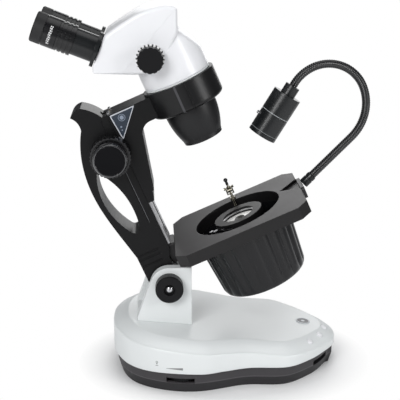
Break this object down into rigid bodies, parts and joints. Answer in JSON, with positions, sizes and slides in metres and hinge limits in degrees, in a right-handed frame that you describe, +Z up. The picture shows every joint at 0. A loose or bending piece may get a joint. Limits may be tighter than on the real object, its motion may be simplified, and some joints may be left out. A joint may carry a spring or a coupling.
{
  "type": "stereo microscope",
  "caption": "Inclinable stereo zoom microscope on a lit stage, with a rack focus, a swivelling two-eyepiece head, a stone holder and a gooseneck lamp.",
  "frame": {"origin": "on the floor, under the middle of the base", "axes": "+X from the back of the base to its nose, +Z up, the eyepieces over -X"},
  "size_m": [0.4274, 0.2158, 0.4793],
  "materials": {
    "white_paint": "satin white moulded plastic",
    "white_metal": "satin white paint on cast aluminium",
    "black_metal": "satin black paint on cast aluminium",
    "grey_metal": "warm grey satin paint on cast aluminium",
    "black_plastic": "fine-grained black moulded plastic",
    "anodised": "satin black anodised aluminium",
    "steel": "ground steel",
    "chrome": "bright plated steel",
    "brass": "machined brass",
    "rubber": "soft black rubber",
    "glass": "coated optical glass",
    "mirror": "bright white reflector",
    "board": "green circuit board",
    "badge": "dark blue badge with a pale border",
    "ivory": "white insulating plastic"
  },
  "bodies": {
    "base": {"base_cover": "white_paint", "base_tray": "black_plastic", "bottom_plate": "steel", "rubber_feet": "rubber", "driver_board": "board", "power_inlet": "black_plastic", "cover_badge": "chrome", "tilt_bracket": "white_metal"},
    "side_dimmer": {"side_dimmer_wheel": "black_plastic"},
    "nose_dimmer": {"nose_dimmer_wheel": "black_plastic"},
    "stand": {"tilt_axle": "steel", "arm": "black_metal", "guide_rail": "steel", "stage_bracket": "grey_metal", "stage_plate": "grey_metal", "lamp_housing": "black_plastic", "lamp_well": "black_metal", "reflector_bowl": "mirror", "darkfield_lamp": "ivory", "iris_cage": "black_metal", "iris_leaves": "anodised", "lamp_holder": "grey_metal", "gooseneck_lower": "black_metal"},
    "lock_knob_near": {"lock_knob_near": "black_plastic"},
    "lock_knob_far": {"lock_knob_far": "black_plastic"},
    "iris_lever": {"iris_lever": "chrome"},
    "carriage": {"carriage": "black_metal", "focus_rack": "brass", "collar": "black_metal", "badge_plates": "badge"},
    "focus_drive": {"focus_shaft": "steel", "focus_knobs": "black_plastic", "focus_caps": "black_plastic"},
    "collar_screw": {"collar_screw": "black_plastic"},
    "head": {"head_housing": "white_paint", "mount_ring": "white_metal", "objective_cup": "black_metal", "objective_lenses": "glass", "optics_frame": "anodised", "prisms": "glass"},
    "zoom_drive": {"zoom_shaft": "steel", "zoom_knobs": "black_plastic"},
    "zoom_lower": {"zoom_carrier_lower": "brass"},
    "zoom_upper": {"zoom_carrier_upper": "brass"},
    "tube_near": {"eyetube_near": "anodised"},
    "tube_far": {"eyetube_far": "anodised"},
    "dioptre_near": {"dioptre_ring_near": "anodised"},
    "dioptre_far": {"dioptre_ring_far": "anodised"},
    "ocular_near": {"eyepiece_near": "anodised", "eyecup_near": "rubber"},
    "ocular_far": {"eyepiece_far": "anodised", "eyecup_far": "rubber"},
    "stone_post": {"stone_post": "chrome"},
    "stone_rod": {"stone_rod": "chrome"},
    "lamp": {"gooseneck_bend": "black_metal", "gooseneck_upper": "black_metal", "lamp_shell": "anodised", "lamp_lens": "glass", "lamp_core": "ivory"},
    "lamp_switch": {"lamp_switch": "chrome"}
  },
  "joints": [
    {"name": "side_dimmer_turn", "type": "hinge", "parent": "base", "child": "side_dimmer", "pos_m": [-0.059, -0.0795, 0.0165], "axis": [0, 0, 1], "range_deg": [-135, 135]},
    {"name": "nose_dimmer_turn", "type": "hinge", "parent": "base", "child": "nose_dimmer", "pos_m": [0.104, -0.03, 0.016], "axis": [0, 0, 1], "range_deg": [-135, 135]},
    {"name": "tilt", "type": "hinge", "parent": "base", "child": "stand", "pos_m": [-0.07502, 0, 0.12005], "axis": [0, 1, 0], "range_deg": [-16, 20]},
    {"name": "lock_knob_near_turn", "type": "hinge", "parent": "stand", "child": "lock_knob_near", "pos_m": [-0.07502, -0.045, 0.12005], "axis": [0, 1, 0], "range_deg": [0, 180]},
    {"name": "lock_knob_far_turn", "type": "hinge", "parent": "stand", "child": "lock_knob_far", "pos_m": [-0.07502, 0.045, 0.12005], "axis": [0, 1, 0], "range_deg": [0, 180]},
    {"name": "iris_turn", "type": "hinge", "parent": "stand", "child": "iris_lever", "pos_m": [0.01852, 0, 0.1991], "axis": [-0.3987, 0, 0.9171], "range_deg": [-35, 35]},
    {"name": "focus_slide", "type": "slide", "parent": "stand", "child": "carriage", "axis": [-0.3987, 0, 0.9171], "range_m": [-0.05, 0.01]},
    {"name": "focus_drive", "type": "hinge", "parent": "stand", "child": "focus_drive", "pos_m": [-0.14618, 0, 0.29324], "axis": [0, 1, 0], "range_deg": [-70, 325]},
    {"name": "collar_screw_turn", "type": "hinge", "parent": "carriage", "child": "collar_screw", "pos_m": [-0.05439, 0.05, 0.36678], "axis": [0, 1, 0], "range_deg": [0, 180]},
    {"name": "head_turn", "type": "hinge", "parent": "carriage", "child": "head", "pos_m": [-0.05405, 0, 0.36601], "axis": [-0.3987, 0, 0.9171], "continuous": true},
    {"name": "zoom_turn", "type": "hinge", "parent": "head", "child": "zoom_drive", "pos_m": [-0.09554, 0, 0.41503], "axis": [0, 1, 0], "range_deg": [-100.2, 100.2]},
    {"name": "zoom_lower_slide", "type": "slide", "parent": "head", "child": "zoom_lower", "axis": [-0.3987, 0, 0.9171], "range_m": [-0.01047, 0.01047]},
    {"name": "zoom_upper_slide", "type": "slide", "parent": "head", "child": "zoom_upper", "axis": [-0.3987, 0, 0.9171], "range_m": [-0.0088, 0.0088]},
    {"name": "tube_near_swing", "type": "hinge", "parent": "head", "child": "tube_near", "pos_m": [-0.14963, -0.03, 0.44594], "axis": [-0.9304, 0, 0.3665], "range_deg": [-10, 10]},
    {"name": "tube_far_swing", "type": "hinge", "parent": "head", "child": "tube_far", "pos_m": [-0.14963, 0.03, 0.44594], "axis": [-0.9304, 0, 0.3665], "range_deg": [-10, 10]},
    {"name": "dioptre_near_turn", "type": "hinge", "parent": "tube_near", "child": "dioptre_near", "pos_m": [-0.19658, -0.03, 0.43864], "axis": [-0.9304, 0, 0.3665], "range_deg": [-90, 90]},
    {"name": "dioptre_far_turn", "type": "hinge", "parent": "tube_far", "child": "dioptre_far", "pos_m": [-0.19658, 0.03, 0.43864], "axis": [-0.9304, 0, 0.3665], "range_deg": [-90, 90]},
    {"name": "ocular_near_slide", "type": "slide", "parent": "tube_near", "child": "ocular_near", "axis": [-0.9304, 0, 0.3665], "range_m": [0, 0.028]},
    {"name": "ocular_far_slide", "type": "slide", "parent": "tube_far", "child": "ocular_far", "axis": [-0.9304, 0, 0.3665], "range_m": [0, 0.028]},
    {"name": "stone_post_turn", "type": "hinge", "parent": "stand", "child": "stone_post", "pos_m": [0.01373, 0.0645, 0.2101], "axis": [-0.3987, 0, 0.9171], "range_deg": [-35, 35]},
    {"name": "stone_rod_tilt", "type": "hinge", "parent": "stone_post", "child": "stone_rod", "pos_m": [0.01022, 0.0645, 0.21818], "axis": [0.9171, 0, 0.3987], "range_deg": [-30, 0]},
    {"name": "lamp_bend", "type": "hinge", "parent": "stand", "child": "lamp", "pos_m": [0.14224, 0.012, 0.28101], "axis": [0, 1, 0], "range_deg": [-20, 20], "deforming": ["gooseneck_bend"]},
    {"name": "lamp_switch_press", "type": "slide", "parent": "lamp", "child": "lamp_switch", "axis": [0.8526, 0, -0.5225], "range_m": [0, 0.001], "stiffness_N_per_m": 500}
  ],
  "couplings": [
    {"joint": "focus_drive", "follows": "focus_slide", "rad_per_m": -111.11},
    {"joint": "zoom_turn", "follows": "zoom_lower_slide", "rad_per_m": 166.67},
    {"joint": "zoom_upper_slide", "follows": "zoom_lower_slide", "ratio": -0.83333},
    {"joint": "tube_far_swing", "follows": "tube_near_swing", "ratio": -1}
  ]
}
